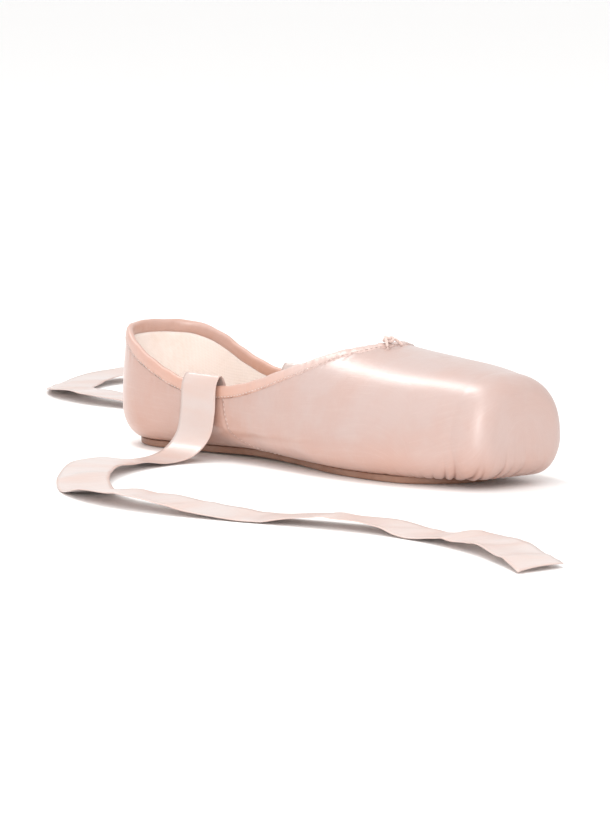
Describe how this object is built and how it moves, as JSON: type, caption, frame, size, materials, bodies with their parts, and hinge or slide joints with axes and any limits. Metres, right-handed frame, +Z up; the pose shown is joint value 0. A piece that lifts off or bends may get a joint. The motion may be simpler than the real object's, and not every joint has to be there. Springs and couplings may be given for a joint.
{
  "type": "pointe shoe",
  "caption": "Ballet pointe shoe in satin with a stiff toe box, flat platform, thin leather sole, open collar and two ribbons.",
  "frame": {"origin": "on the floor, under the middle of the shoe's length and width, ribbons left out", "axes": "+X from the heel to the toe platform, +Z up from the floor"},
  "size_m": [0.6278, 0.3828, 0.0591],
  "materials": {
    "satin": "worn pale pink satin over stiffened cloth",
    "sole_leather": "natural split leather, rough, with a burnished edge",
    "insole_cloth": "matt cotton over board",
    "casing_satin": "folded satin binding",
    "drawstring": "thin braided cotton cord",
    "ribbon_satin": "glossy satin ribbon"
  },
  "bodies": {
    "root": {"upper": "satin", "outsole": "sole_leather", "insole": "insole_cloth", "collar_casing": "casing_satin", "drawstring_knot": "drawstring", "string_tail_near": "drawstring", "string_tail_far": "drawstring", "ribbon_near": "ribbon_satin", "ribbon_far": "ribbon_satin"}
  },
  "joints": []
}
